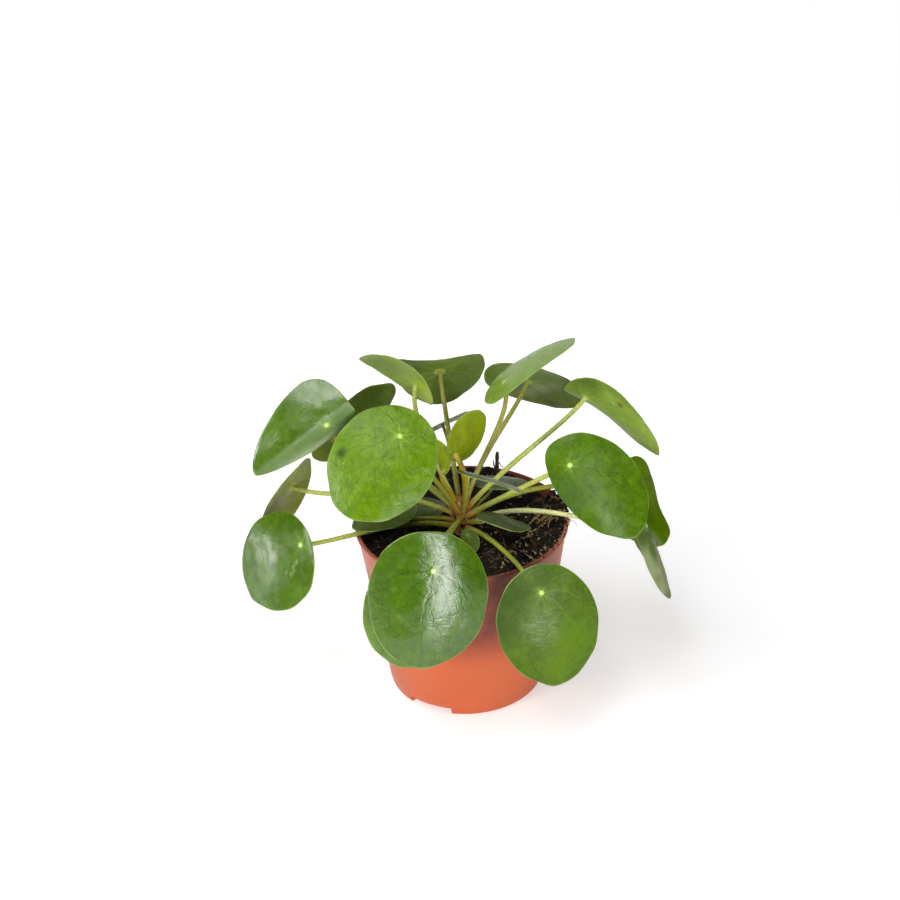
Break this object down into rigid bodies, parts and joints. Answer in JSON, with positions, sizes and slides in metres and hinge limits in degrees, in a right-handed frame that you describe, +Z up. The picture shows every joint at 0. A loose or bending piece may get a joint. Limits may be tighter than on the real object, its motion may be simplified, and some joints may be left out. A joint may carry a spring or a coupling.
{
  "type": "potted pilea plant",
  "caption": "House plant with round peltate leaves on long petioles, growing from a short stem in a conical plastic nursery pot filled with dark soil; it stands on the pot's flat base.",
  "frame": {"origin": "middle of the pot's underside", "axes": "+Z up, with the plant's fullest side looking along -Y"},
  "size_m": [0.2446, 0.168, 0.2024],
  "materials": {
    "pot": "satin",
    "soil": "rough",
    "stem": "matte",
    "bark": "rough",
    "petiole": "satin",
    "leaf": "glossy"
  },
  "bodies": {
    "root": {"pot": "pot", "soil": "soil", "twig": "bark", "stem": "stem", "leaf_01_blade": "leaf", "leaf_01_petiole": "petiole", "leaf_02_blade": "leaf", "leaf_02_petiole": "petiole", "leaf_03_blade": "leaf", "leaf_03_petiole": "petiole", "leaf_04_blade": "leaf", "leaf_04_petiole": "petiole", "leaf_05_blade": "leaf", "leaf_05_petiole": "petiole", "leaf_06_blade": "leaf", "leaf_06_petiole": "petiole", "leaf_07_blade": "leaf", "leaf_07_petiole": "petiole", "leaf_08_blade": "leaf", "leaf_08_petiole": "petiole", "leaf_09_blade": "leaf", "leaf_09_petiole": "petiole", "leaf_10_blade": "leaf", "leaf_10_petiole": "petiole", "leaf_11_blade": "leaf", "leaf_11_petiole": "petiole", "leaf_12_blade": "leaf", "leaf_12_petiole": "petiole", "leaf_13_blade": "leaf", "leaf_13_petiole": "petiole", "leaf_14_blade": "leaf", "leaf_14_petiole": "petiole", "leaf_15_blade": "leaf", "leaf_15_petiole": "petiole", "leaf_16_blade": "leaf", "leaf_16_petiole": "petiole", "leaf_17_blade": "leaf", "leaf_17_petiole": "petiole", "leaf_18_blade": "leaf", "leaf_18_petiole": "petiole", "leaf_19_blade": "leaf", "leaf_19_petiole": "petiole", "leaf_20_blade": "leaf", "leaf_20_petiole": "petiole", "leaf_21_blade": "leaf", "leaf_21_petiole": "petiole", "leaf_22_blade": "leaf", "leaf_22_petiole": "petiole", "leaf_23_blade": "leaf", "leaf_23_petiole": "petiole", "leaf_24_blade": "leaf", "leaf_24_petiole": "petiole", "leaf_25_blade": "leaf", "leaf_25_petiole": "petiole"}
  },
  "joints": []
}
